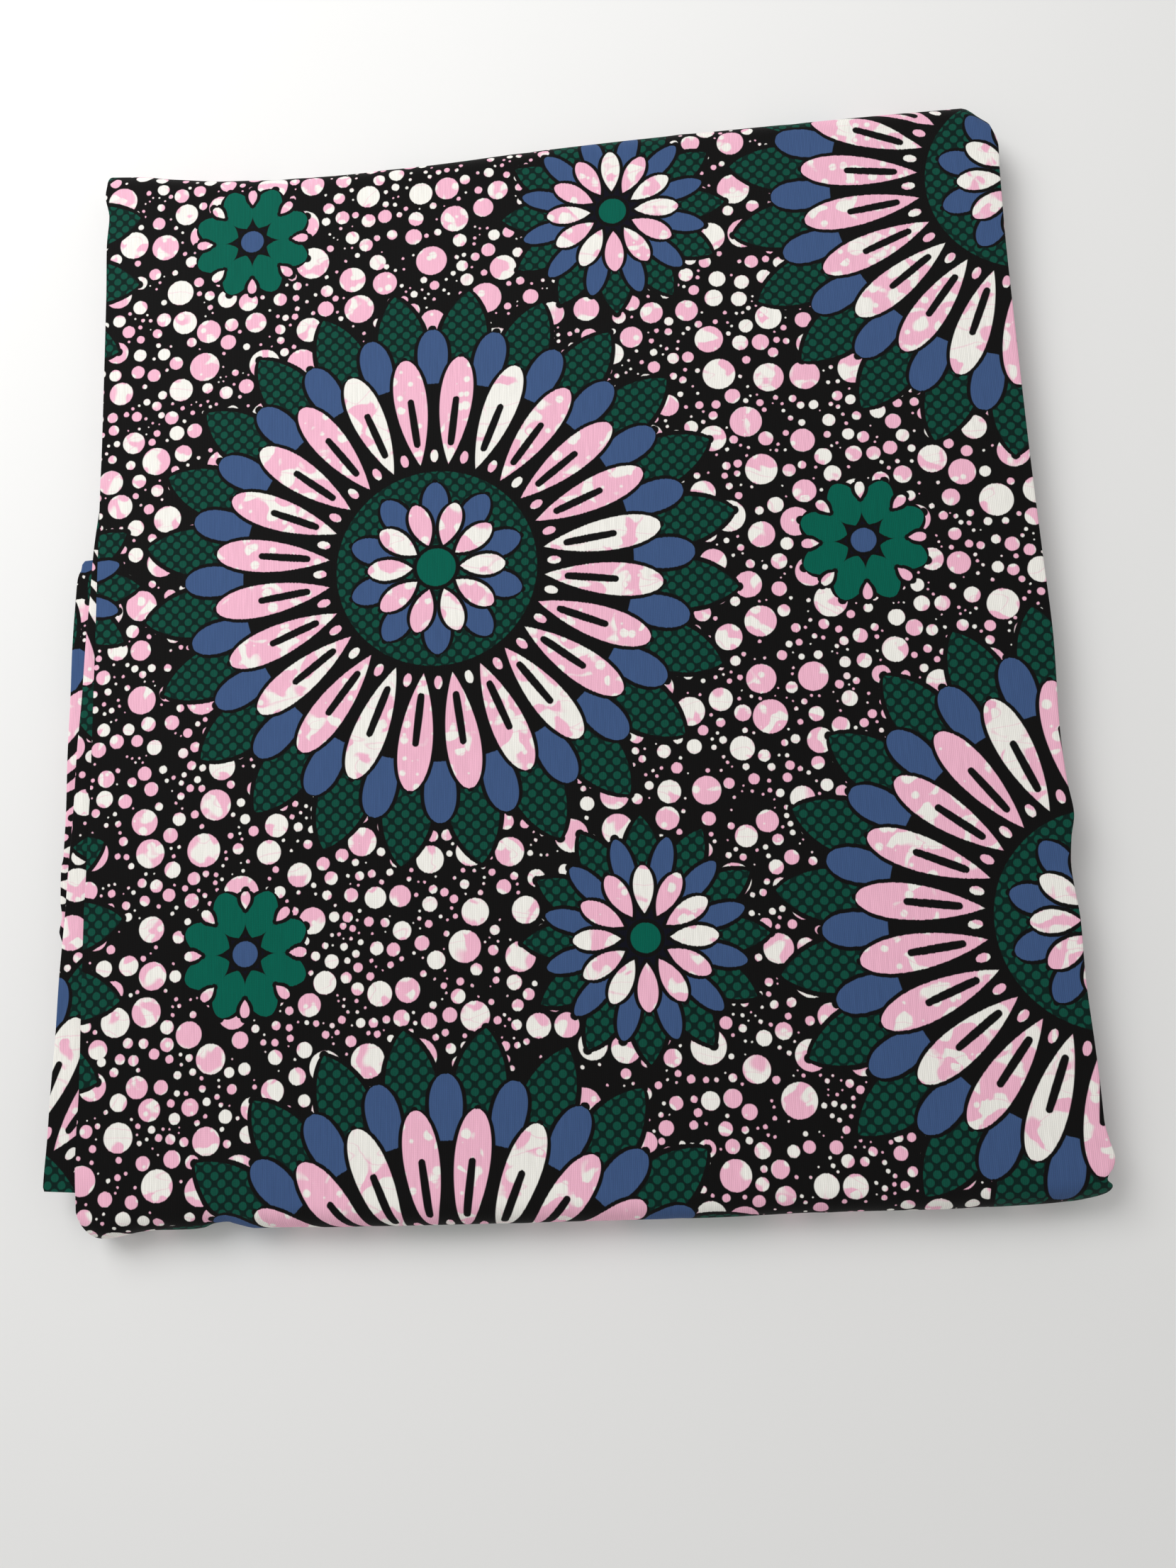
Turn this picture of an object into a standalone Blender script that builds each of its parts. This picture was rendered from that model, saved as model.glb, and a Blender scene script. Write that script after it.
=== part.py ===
"""A length of printed ankara cloth, folded into a flat packet.

Six yards of cloth are folded in three across the width and in twelve along the length.
The uppermost strip is wrapped over the far and near ends of the packet, two strips under
it peep out along the left side, and the rest lie hidden, with their folds showing as
layers at the left and right sides.

Metres, +Z up, X across the packet and +Y towards its far fold. The origin is at the
centre of the bounding box, on the surface that the packet rests on.
"""

from typing import NamedTuple

import bmesh
import bpy
import numpy as np

MM = 0.001

# The cloth and its folding
CLOTH_WIDTH = 1.194
CLOTH_LENGTH = 5.486
FOLDS_ACROSS = 3
STRIPS = 12
PACKET_WIDTH = CLOTH_WIDTH / FOLDS_ACROSS
PACKET_LENGTH = CLOTH_LENGTH / STRIPS
HALF_WIDTH = PACKET_WIDTH / 2
HALF_LENGTH = PACKET_LENGTH / 2
STACK_HEIGHT = 18.0 * MM
PANEL_WALL = 1.5 * MM
LAYER_WALL = 1.1 * MM
SEAM_GAP = 0.3 * MM

# The hidden strips fill what the uppermost one leaves, and round off at both ends
CORE_HEIGHT = STACK_HEIGHT - PANEL_WALL - SEAM_GAP
CORE_RADIUS = CORE_HEIGHT / 2
WRAP_RADIUS = STACK_HEIGHT - CORE_RADIUS
CORE_STRIPS = STRIPS - 1
STRIP_PITCH = CORE_HEIGHT / CORE_STRIPS
GROOVE_DEPTH = 1.6 * MM
CORE_INSET = 1.2 * MM
CORE_END_EASE = 0.4 * MM

# How far round its ends each piece reaches, from level at the end to upright on top
END_STEP_DEG = 16.5
WRAP_END_DEG = 90.0 - 8 * END_STEP_DEG
CORE_END_DEG = 90.0 - 4 * END_STEP_DEG

# The pocket in the hidden strips where the two strips at the left lie
POCKET_X = -150.0 * MM
POCKET_STRIPS = 2
POCKET_NEAR_SHARE = 0.0008
POCKET_FAR_SHARE = 0.655
LAYER_RIGHT_X = POCKET_X - 2.0 * MM

# Columns across the packet, shared by the panel and what it lies on, and stations along it
COLUMN_SPAN = 170.0 * MM
INNER_COLUMNS = 13
TOP_STATIONS = 19
LAYER_STATIONS = 16
LAYER_COLUMNS = 5
LAYER_END_SHARE = 0.5
NOSE_TURNS_DEG = (45.0, 0.0, -45.0)
SHARP_EDGE_DEG = 50.0


class SideRow(NamedTuple):
    """Where the uppermost strip's sides lie, beyond the packet's half width."""

    y_mm: float
    left_mm: float
    right_mm: float


class EndRow(NamedTuple):
    """Where the packet's near and far folds lie, beyond its half length."""

    x_mm: float
    near_mm: float
    far_mm: float


class CornerRow(NamedTuple):
    """How far the uppermost strip's corners draw in as it goes round a fold."""

    angle_deg: float
    near_left_mm: float
    near_right_mm: float
    far_left_mm: float
    far_right_mm: float


class SwellRow(NamedTuple):
    """One soft rise or hollow of the packet's top."""

    x_mm: float
    y_mm: float
    half_width_mm: float
    half_length_mm: float
    height_mm: float


class EdgeRow(NamedTuple):
    """Where a strip's left edge shows, from the packet's middle."""

    y_mm: float
    left_mm: float


SIDES = (
    SideRow(-222.0, -0.2, 0.8),
    SideRow(-211.0, 0.4, 2.6),
    SideRow(-200.0, 0.5, 0.6),
    SideRow(-140.0, 0.4, -0.2),
    SideRow(-100.0, 0.4, -1.5),
    SideRow(-82.0, 0.4, 1.6),
    SideRow(-68.0, 0.4, 0.2),
    SideRow(-50.0, 0.4, -0.3),
    SideRow(-5.0, 0.4, 1.0),
    SideRow(30.0, 0.4, 0.2),
    SideRow(78.0, -0.1, -0.7),
    SideRow(100.0, -1.0, -0.9),
    SideRow(160.0, -1.0, -1.4),
    SideRow(205.0, -1.0, -1.0),
    SideRow(226.0, -0.8, -3.6),
)

ENDS = (
    EndRow(-200.0, 1.0, 9.4),
    EndRow(-185.0, 5.0, 7.6),
    EndRow(-168.0, 2.2, 5.2),
    EndRow(-142.0, 0.1, 2.1),
    EndRow(-116.0, 1.3, 0.6),
    EndRow(-94.0, 1.9, 0.2),
    EndRow(-50.0, 2.0, 1.2),
    EndRow(0.0, 1.9, 3.6),
    EndRow(50.0, 1.8, 5.0),
    EndRow(95.0, 0.8, 5.6),
    EndRow(130.0, 0.6, 5.9),
    EndRow(160.0, -0.4, 6.1),
    EndRow(186.0, -1.7, 5.8),
    EndRow(202.0, -5.0, 3.6),
)

CORNERS = (
    CornerRow(-45.0, 11.0, 7.0, 2.0, 10.0),
    CornerRow(0.0, 8.0, 3.5, 1.0, 8.0),
    CornerRow(45.0, 3.5, 1.0, 0.0, 3.5),
    CornerRow(90.0, 0.0, 0.0, 0.0, 0.0),
)

SWELLS = (
    SwellRow(-110.0, -50.0, 70.0, 110.0, 0.9),
    SwellRow(50.0, 100.0, 130.0, 80.0, 0.7),
    SwellRow(130.0, -120.0, 70.0, 70.0, -0.6),
    SwellRow(-60.0, 160.0, 90.0, 50.0, -0.5),
    SwellRow(10.0, -150.0, 80.0, 60.0, 0.5),
)

# The strip just under the panel turns out to the left towards the near fold
SECOND_EDGE = (
    EdgeRow(-217.6, -196.0),
    EdgeRow(-214.0, -197.0),
    EdgeRow(-213.0, -213.4),
    EdgeRow(-211.0, -214.0),
    EdgeRow(-190.0, -212.9),
    EdgeRow(-120.0, -209.5),
    EdgeRow(-30.0, -204.8),
    EdgeRow(30.0, -201.6),
    EdgeRow(67.0, -199.3),
)

# The one below stands out evenly, and ends at a shoulder half way along
THIRD_EDGE = (
    EdgeRow(-217.6, -196.0),
    EdgeRow(-213.0, -197.0),
    EdgeRow(-212.0, -209.4),
    EdgeRow(-150.0, -209.8),
    EdgeRow(-116.0, -210.2),
    EdgeRow(-104.0, -212.0),
    EdgeRow(-95.0, -212.0),
    EdgeRow(-80.0, -211.0),
    EdgeRow(0.0, -210.6),
    EdgeRow(24.0, -210.0),
    EdgeRow(40.0, -209.4),
    EdgeRow(46.0, -208.0),
    EdgeRow(49.6, -205.0),
    EdgeRow(50.6, -197.4),
    EdgeRow(67.0, -197.0),
)

# How far the hidden strips fan out at the left, and each strip's own offset
FAN = (
    EdgeRow(-232.0, 0.0),
    EdgeRow(-219.0, 0.0),
    EdgeRow(-200.0, -9.0),
    EdgeRow(-100.0, -5.0),
    EdgeRow(30.0, -1.0),
    EdgeRow(60.0, 0.0),
    EdgeRow(240.0, 0.0),
)
STRIP_LEFT_MM = (0.6, -0.4, 1.3, 0.2, 1.0, -0.6, 0.8, 0.0, 1.2, 0.3, 0.9)
STRIP_RIGHT_MM = (0.5, 1.6, 0.2, 1.2, 2.2, 0.6, 1.5, 0.0, 1.0, 0.4, 1.1)
STRIP_WAVE_MM = 0.7
STRIP_WAVE_LENGTH = 170.0 * MM
STRIP_WAVE_STEP = 0.37
FOLD_SHARES = (0.25, 0.75)
SWELL_EDGE_POWER = 6


def curve_through(rows, along, value):
    """A smooth function through a table's rows, from the first to the last.

    Args:
        rows: Rows of one table, in rising order of the column along.
        along: The column that it runs along, in millimetres or degrees.
        value: The column whose values it gives.

    Returns:
        A function from that column's unit to the value's, both as written in the table.
    """
    knots = np.array([getattr(row, along) for row in rows])
    values = np.array([getattr(row, value) for row in rows])
    rises = np.diff(values) / np.diff(knots)
    before, after = rises[:-1], rises[1:]
    level = before * after <= 0
    total = np.where(level, 1.0, before + after)
    inner = np.where(level, 0.0, 2 * before * after / total)
    slopes = np.concatenate([rises[:1], inner, rises[-1:]])

    def at(place):
        place = float(np.clip(place, knots[0], knots[-1]))
        i = int(np.clip(np.searchsorted(knots, place) - 1, 0, len(knots) - 2))
        span = knots[i + 1] - knots[i]
        t = (place - knots[i]) / span
        rise = t * t * (3 - 2 * t)
        lead = t * (1 - t) ** 2 * slopes[i] * span
        trail = t * t * (t - 1) * slopes[i + 1] * span
        return values[i] + (values[i + 1] - values[i]) * rise + lead + trail

    return at


LEFT_EASE = curve_through(SIDES, "y_mm", "left_mm")
RIGHT_EASE = curve_through(SIDES, "y_mm", "right_mm")
NEAR_EASE = curve_through(ENDS, "x_mm", "near_mm")
FAR_EASE = curve_through(ENDS, "x_mm", "far_mm")
SECOND_LEFT = curve_through(SECOND_EDGE, "y_mm", "left_mm")
THIRD_LEFT = curve_through(THIRD_EDGE, "y_mm", "left_mm")
FAN_LEFT = curve_through(FAN, "y_mm", "left_mm")


def near_fold(x):
    """The packet's near end at this place across it."""
    return -HALF_LENGTH - NEAR_EASE(x / MM) * MM


def far_fold(x):
    """The packet's far end at this place across it."""
    return HALF_LENGTH + FAR_EASE(x / MM) * MM


def swell(x, y):
    """How much the packet's top rises at this place, none at its edges."""
    total = 0.0
    for row in SWELLS:
        across = (x / MM - row.x_mm) / row.half_width_mm
        along = (y / MM - row.y_mm) / row.half_length_mm
        total += row.height_mm * np.exp(-(across**2) - along**2)
    level_x = 1 - min(1.0, abs(x / HALF_WIDTH)) ** SWELL_EDGE_POWER
    level_y = 1 - min(1.0, abs(y / HALF_LENGTH)) ** SWELL_EDGE_POWER
    return total * level_x * level_y * MM


class Station:
    """One section across the packet: round an end by an angle, or flat between the ends."""

    def __init__(self, end, angle_deg=90.0, share=0.0, pocket=False):
        self.end = end
        self.angle_deg = angle_deg
        self.share = share
        self.pocket = pocket

    def spot(self, x, radius, ease=0.0):
        """The place along the packet of a surface round the ends' axes, and its height.

        Args:
            x: The place across the packet.
            radius: How far the surface is from the ends' axes.
            ease: How much less than that it reaches out beyond them.

        Returns:
            The y, and the height above the middle of the stack.
        """
        angle = np.radians(self.angle_deg)
        near_axis = near_fold(x) + WRAP_RADIUS
        far_axis = far_fold(x) - WRAP_RADIUS
        if self.end == "near":
            return near_axis - (radius - ease) * np.cos(angle), radius * np.sin(angle)
        if self.end == "far":
            return far_axis + (radius - ease) * np.cos(angle), radius * np.sin(angle)
        return near_axis + (far_axis - near_axis) * self.share, radius


def stations(end_deg):
    """The stations from the near end, over the top, to the far end."""
    steps = np.linspace(end_deg, 90.0, round((90.0 - end_deg) / END_STEP_DEG) + 1)
    shares = np.linspace(0.0, 1.0, TOP_STATIONS)[1:-1]
    near = [Station("near", angle) for angle in steps]
    flat = [Station("top", share=share) for share in shares]
    far = [Station("far", angle) for angle in steps[::-1]]
    return near + flat + far


def pocketed(places):
    """The stations with a steep wall at each end of the pocket in the hidden strips."""
    near = [place for place in places if place.end == "near"]
    far = [place for place in places if place.end == "far"]
    flat = [place for place in places if place.end == "top"]
    inside = [Station("top", share=POCKET_NEAR_SHARE, pocket=True)]
    inside += [
        Station("top", share=place.share, pocket=True)
        for place in flat
        if place.share < POCKET_FAR_SHARE
    ]
    inside.append(Station("top", share=POCKET_FAR_SHARE, pocket=True))
    beyond = [Station("top", share=POCKET_FAR_SHARE + POCKET_NEAR_SHARE)]
    beyond += [place for place in flat if place.share > POCKET_FAR_SHARE + POCKET_NEAR_SHARE]
    return near + inside + beyond + far


def columns_between(left, right):
    """The places across a section: its own edges, and as many fixed ones as lie between."""
    inner = np.linspace(-COLUMN_SPAN, COLUMN_SPAN, INNER_COLUMNS)
    inner = inner[inner > left]
    lead = np.linspace(left, inner[0], INNER_COLUMNS + 3 - len(inner))[:-1]
    tail = np.linspace(inner[-1], right, 3)[1:]
    return np.concatenate([lead, inner, tail])


def corner_draw(station, side):
    """How far a panel's side draws in at this station."""
    if station.end == "top":
        return 0.0
    column = f"{station.end}_{side}_mm"
    return curve_through(CORNERS, "angle_deg", column)(station.angle_deg) * MM


def panel_point(station, x, radius):
    """A point of the wrapped strip, this far from the ends' axes."""
    y, height = station.spot(x, radius)
    lift = swell(x, y) if station.end == "top" else 0.0
    return (x, y, CORE_RADIUS + height + lift)


def panel_ring(station):
    """The uppermost strip's closed section: crisp at the left, a round fold at the right."""
    y_mid = station.spot(0.0, WRAP_RADIUS)[0] / MM
    left = -HALF_WIDTH - LEFT_EASE(y_mid) * MM + corner_draw(station, "left")
    right = HALF_WIDTH + RIGHT_EASE(y_mid) * MM - corner_draw(station, "right")
    outer, inner = WRAP_RADIUS, WRAP_RADIUS - PANEL_WALL
    middle, nose = (outer + inner) / 2, PANEL_WALL / 2
    columns = columns_between(left, right - nose)
    ring = [panel_point(station, x, outer) for x in columns]
    for turn in np.radians(NOSE_TURNS_DEG):
        x = right - nose + nose * np.cos(turn)
        ring.append(panel_point(station, x, middle + nose * np.sin(turn)))
    ring += [panel_point(station, x, inner) for x in columns[::-1]]
    return ring


def strip_sides(number, y, pocket):
    """Where one hidden strip's left and right folds lie at this place along the packet."""
    phase = 2 * np.pi * (y / STRIP_WAVE_LENGTH + STRIP_WAVE_STEP * number)
    wave = STRIP_WAVE_MM * MM * np.sin(phase)
    left = -HALF_WIDTH + CORE_INSET + STRIP_LEFT_MM[number] * MM + FAN_LEFT(y / MM) * MM + wave
    right = HALF_WIDTH - CORE_INSET - STRIP_RIGHT_MM[number] * MM + wave
    if pocket and number >= CORE_STRIPS - POCKET_STRIPS:
        left = POCKET_X
    return left, right


def core_point(station, x, share):
    """A point of the hidden strips, from -1 at their underside to 1 on top."""
    y, height = station.spot(x, CORE_RADIUS, CORE_END_EASE)
    lift = swell(x, y) * max(0.0, share) if station.end == "top" else 0.0
    return (x, y, CORE_RADIUS + height * share + lift)


def core_ring(station):
    """The hidden strips' closed section: a round nose for each strip at both sides.

    It starts half way up the right side, so that each end closes in even rungs.
    """
    y_mid = station.spot(0.0, CORE_RADIUS)[0]
    noses = [strip_sides(number, y_mid, station.pocket) for number in range(CORE_STRIPS)]
    up_right, up_left = [], []
    for number, (left, right) in enumerate(noses):
        low = 2 * number / CORE_STRIPS - 1
        high = low + 2 / CORE_STRIPS
        up_right.append(core_point(station, right - GROOVE_DEPTH, low))
        up_left.append(core_point(station, left + GROOVE_DEPTH, low))
        for share in FOLD_SHARES:
            level = low + (high - low) * share
            up_right.append(core_point(station, right, level))
            up_left.append(core_point(station, left, level))
    top_left, top_right = noses[-1]
    low_left, low_right = noses[0]
    inside = columns_between(top_left + GROOVE_DEPTH, top_right - GROOVE_DEPTH)
    under = columns_between(low_left + GROOVE_DEPTH, low_right - GROOVE_DEPTH)
    top = [core_point(station, x, 1.0) for x in inside[::-1]]
    bottom = [core_point(station, x, -1.0) for x in under[1:-1]]
    half = len(up_right) // 2 + 1
    return up_right[half:] + top + up_left[::-1] + bottom + up_right[:half]


def layer_ring(y, left, level, squeeze):
    """A peeping strip's closed section: a round fold at the left, tucked in at the right.

    Args:
        y: The section's place along the packet.
        left: The strip's left edge.
        level: Its underside above the surface.
        squeeze: Its thickness here as a share of the wall, less at its ends.

    Returns:
        The ring of points.
    """
    nose = LAYER_WALL / 2 * squeeze
    middle = level + LAYER_WALL / 2
    columns = np.linspace(left + nose, LAYER_RIGHT_X, LAYER_COLUMNS)
    ring = [(x, y, middle - nose + swell(x, y)) for x in columns[::-1]]
    for turn in np.radians(NOSE_TURNS_DEG[::-1]):
        x = left + nose - nose * np.cos(turn)
        ring.append((x, y, middle + nose * np.sin(turn) + swell(x, y)))
    ring += [(x, y, middle + nose + swell(x, y)) for x in columns]
    return ring


def layer_rings(edge, left_at, level):
    """A peeping strip's sections, from its near fold to its far end."""
    near, far = edge[0].y_mm * MM, edge[-1].y_mm * MM
    even = list(np.linspace(near, far, LAYER_STATIONS)[1:-1])
    places = sorted(even + [row.y_mm * MM for row in edge[1:-1]])
    inner = [(y, 1.0) for y in places]
    places = [(near, LAYER_END_SHARE)] + inner + [(far, LAYER_END_SHARE)]
    return [layer_ring(y, left_at(y / MM) * MM, level, size) for y, size in places]


def close_end(made, ring):
    """Closes a loft's end with rungs from the ring's start to the far side of it."""
    half = len(ring) // 2
    for k in range(half - 1):
        made.faces.new((ring[k], ring[k + 1], ring[-k - 2], ring[-k - 1]))
    if len(ring) % 2:
        made.faces.new((ring[half - 1], ring[half], ring[half + 1]))


def loft(name, rings, material):
    """A closed solid through rings of equal count."""
    mesh = bpy.data.meshes.new(name)
    made = bmesh.new()
    rows = [[made.verts.new(point) for point in ring] for ring in rings]
    count = len(rows[0])
    for first, second in zip(rows, rows[1:]):
        for i in range(count):
            j = (i + 1) % count
            made.faces.new((first[i], first[j], second[j], second[i]))
    close_end(made, rows[0])
    close_end(made, rows[-1])
    bmesh.ops.recalc_face_normals(made, faces=made.faces)
    made.to_mesh(mesh)
    made.free()
    mesh.shade_smooth()
    mesh.set_sharp_from_angle(angle=np.radians(SHARP_EDGE_DEG))
    mesh.materials.append(material)
    return bpy.data.objects.new(name, mesh)


def cloth_material(name, colour, roughness):
    """A plain matt cloth finish."""
    material = bpy.data.materials.new(name)
    material.use_nodes = True
    shader = material.node_tree.nodes["Principled BSDF"]
    shader.inputs["Base Color"].default_value = (*colour, 1.0)
    shader.inputs["Roughness"].default_value = roughness
    shader.inputs["Metallic"].default_value = 0.0
    return material


def centred(objects):
    """Moves every mesh so that the bounding box's bottom centre is the origin."""
    points = np.array([tuple(v.co) for obj in objects for v in obj.data.vertices])
    low, high = points.min(axis=0), points.max(axis=0)
    shift = ((low[0] + high[0]) / 2, (low[1] + high[1]) / 2, low[2])
    for obj in objects:
        for vertex in obj.data.vertices:
            for axis in range(3):
                vertex.co[axis] -= shift[axis]


def main():
    """Builds the packet's four pieces in one collection."""
    for obj in list(bpy.data.objects):
        bpy.data.objects.remove(obj)
    collection = bpy.data.collections.new("ankara_fabric")
    bpy.context.scene.collection.children.link(collection)

    shelf = CORE_HEIGHT - POCKET_STRIPS * STRIP_PITCH
    third_level = shelf + SEAM_GAP
    second_level = third_level + LAYER_WALL + SEAM_GAP
    panel = cloth_material("printed_panel", (0.10, 0.10, 0.12), 0.85)
    strips = cloth_material("printed_strips", (0.30, 0.20, 0.25), 0.85)
    hidden = cloth_material("printed_layers", (0.05, 0.14, 0.12), 0.85)

    core = [core_ring(place) for place in pocketed(stations(CORE_END_DEG))]
    wrap = [panel_ring(place) for place in stations(WRAP_END_DEG)]
    second = layer_rings(SECOND_EDGE, SECOND_LEFT, second_level)
    third = layer_rings(THIRD_EDGE, THIRD_LEFT, third_level)
    pieces = [
        loft("folded_layers", core, hidden),
        loft("third_layer", third, strips),
        loft("second_layer", second, strips),
        loft("top_panel", wrap, panel),
    ]
    centred(pieces)
    for piece in pieces:
        collection.objects.link(piece)


main()
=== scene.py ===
"""A folded length of wax-printed ankara cotton: its looks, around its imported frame.

The packet's pieces are thin cloth shells on their solids' forms, at a finer step and with
creases. The print is a generic one of flowers on a ground of dots. It is worked out by
shader nodes from each piece's cloth coordinates, which are metres on the unfolded cloth,
so that it runs on round the folds.
"""

import logging
import math
from dataclasses import dataclass, field
from enum import Enum
from typing import Callable, NamedTuple, Sequence

import bmesh
import bpy
import numpy as np
from mathutils import Matrix, Vector

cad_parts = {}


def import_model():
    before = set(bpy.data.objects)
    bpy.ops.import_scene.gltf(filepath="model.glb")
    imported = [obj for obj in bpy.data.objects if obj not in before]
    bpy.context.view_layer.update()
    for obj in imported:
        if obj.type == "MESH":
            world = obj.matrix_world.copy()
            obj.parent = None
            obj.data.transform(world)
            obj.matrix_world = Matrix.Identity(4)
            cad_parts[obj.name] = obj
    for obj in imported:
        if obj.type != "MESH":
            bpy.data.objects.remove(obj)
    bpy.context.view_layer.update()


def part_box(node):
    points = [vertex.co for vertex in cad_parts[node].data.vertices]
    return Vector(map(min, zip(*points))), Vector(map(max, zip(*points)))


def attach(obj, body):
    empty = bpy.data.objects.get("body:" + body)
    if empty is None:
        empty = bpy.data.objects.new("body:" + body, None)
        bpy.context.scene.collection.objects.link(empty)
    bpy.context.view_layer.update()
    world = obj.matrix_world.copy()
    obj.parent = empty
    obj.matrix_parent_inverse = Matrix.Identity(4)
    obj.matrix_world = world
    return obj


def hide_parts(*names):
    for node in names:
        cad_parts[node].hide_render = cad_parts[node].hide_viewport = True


LOG = logging.getLogger("ankara_fabric")
MM = 0.001
ROOT = "root"
CLOTH_MAP = "cloth"
BAKE_MAP = "OFBake"
Array = np.ndarray
Thing = bpy.types.Object
Tree = bpy.types.NodeTree
Pair = tuple[float, float]
Colour = tuple[float, float, float, float]
Numbers = tuple[float, ...]


# Tables of the packet's form, in millimetres from the middle of the packet


class SideRow(NamedTuple):
    """Where the uppermost strip's sides lie, beyond the packet's half width."""

    y: float
    left: float
    right: float


class EndRow(NamedTuple):
    """Where the packet's near and far folds lie, beyond its half length."""

    x: float
    near: float
    far: float


class CornerRow(NamedTuple):
    """How far the uppermost strip's corners draw in as it goes round a fold."""

    angle_deg: float
    near_left: float
    near_right: float
    far_left: float
    far_right: float


class EdgeRow(NamedTuple):
    """Where a strip's left edge shows."""

    y: float
    left: float


class CreaseRow(NamedTuple):
    """One soft rise, or a hollow where its height is negative, on the unrolled top."""

    x: float
    y: float
    turn_deg: float
    half_length: float
    half_width: float
    height: float


def table(kind: type, *rows: Numbers) -> tuple:
    """A table's rows, with the column names of their kind."""
    return tuple(kind(*row) for row in rows)


SIDES = table(
    SideRow, (-222, -0.2, 1.4), (-217, 0.1, 3.3), (-210, 0.6, 1.9), (-202, 0.9, 0.7),
    (-190, 0.7, 0.7), (-174, 0.2, 0.3), (-147, 0.4, -0.5), (-126, 0.5, -0.1), (-104, 0.5, -1.5),
    (-92, 0.1, -0.3), (-82, 0, 1.7), (-68, -0.2, 0.3), (-50, -0.6, -0.3), (-5, -0.7, 1),
    (30, -0.7, 0.2), (78, -0.8, -0.7), (100, -1, -0.9), (168, -0.8, -1.3), (193, -0.3, -0.9),
    (207, -1.1, -0.6), (218, 1, -0.1), (223, 0.4, -1.1),
)

ENDS = table(
    EndRow, (-200, 1.8, 9.4), (-191, 4.2, 8.6), (-186, 3.9, 8), (-180, 2.6, 7.2), (-174, 1.7, 6.1),
    (-168, 1.4, 5.2), (-158, 1.6, 3.7), (-150, 0.9, 2.6), (-146.5, -0.6, 2.3), (-140, -1.2, 1.9),
    (-136.5, -0.2, 1.7), (-128, 1.4, 1.1), (-116, 1.5, 0.6), (-94, 1.9, 0.2), (-50, 2, 1.2),
    (0, 1.9, 3.6), (50, 1.8, 5), (95, 0.8, 5.6), (130, 0.9, 5.9), (160, 0.4, 6.1), (186, -0.8, 6),
    (188.5, -1.1, 4.6), (192, -1.7, 1.3), (197, -2.7, -2.6), (202, -4.3, -5.5),
)

CORNERS = table(
    CornerRow,
    (-45, 11, 6, 2, 10),
    (0, 8, 2.2, 1.2, 6),
    (41, 3.8, -0.9, 0.5, 1.7),
    (72, 1, 1.6, 0.1, 0.9),
    (90, 0, 0, 0, 0),
)

SECOND_EDGE = table(
    EdgeRow, (-217.6, -196), (-214, -197), (-213, -213.4), (-211, -214), (-190, -212.9),
    (-120, -209.8), (-80, -207.7), (-56, -206.7), (-33, -205.8), (0, -204.2), (30, -202.8),
    (50, -201.7), (66, -200.2), (86, -197.9),
)

THIRD_EDGE = table(
    EdgeRow, (-217.6, -196), (-213, -197), (-212, -209.4), (-150, -209.4), (-116, -209.9),
    (-110, -211.8), (-104, -210.8), (-98, -211.7), (-84, -211.8), (-79, -210.9), (-15, -210.6),
    (24, -210), (38, -209.5), (42.4, -209.1), (44.6, -208.5), (46.2, -207.6), (49, -207.1),
    (50.4, -206), (51, -197.4), (67, -197),
)

# How far left the hidden strips fan out
FAN = table(
    EdgeRow, (-232, 0), (-219, 0), (-200, -9), (-100, -5), (30, -1), (60, 0), (198, 0),
    (212, -1.8), (224, 0),
)

# The packet's broad swells, then the creases at its corners, folds and sides
CREASES = table(
    CreaseRow,
    (-110, -50, 0, 70, 110, 0.9),
    (50, 100, 0, 130, 80, 0.7),
    (130, -120, 0, 70, 70, -0.6),
    (-60, 160, 0, 90, 50, -0.5),
    (10, -150, 0, 80, 60, 0.5),
    (-172, -223, -38, 11, 2.2, -1),
    (-180, -214, -40, 15, 4, 0.7),
    (-150, -218, 62, 14, 4.5, -0.5),
    (-128, -224, 84, 12, 4, 0.3),
    (-84, -226, 95, 11, 3.4, -0.25),
    (-22, -224, 87, 15, 5, 0.22),
    (38, -225, 93, 12, 3.6, -0.24),
    (97, -223, 82, 16, 4.2, 0.26),
    (151, -225, 99, 13, 3.4, -0.3),
    (186, -214, 142, 15, 4, 0.55),
    (178, -222, 128, 11, 2.6, -0.6),
    (176, -91, 158, 24, 5, 0.4),
    (180, -104, 12, 18, 4, -0.45),
    (183, -6, 5, 17, 6, 0.25),
    (176, 216, 35, 17, 4.6, 0.45),
    (164, 222, 48, 12, 2.8, -0.45),
    (112, 225, 88, 13, 4, -0.22),
    (64, 226, 96, 16, 4.8, 0.24),
    (-6, 224, 84, 12, 3.8, -0.26),
    (-71, 221, 92, 17, 6, 0.24),
    (-120, 222, 101, 13, 4, -0.3),
    (-178, 224, 118, 16, 4.4, 0.5),
    (-188, 96, 168, 15, 5, -0.3),
    (-186, -64, 10, 17, 7, 0.25),
    (-187, -160, 172, 14, 5, -0.25),
)


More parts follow.
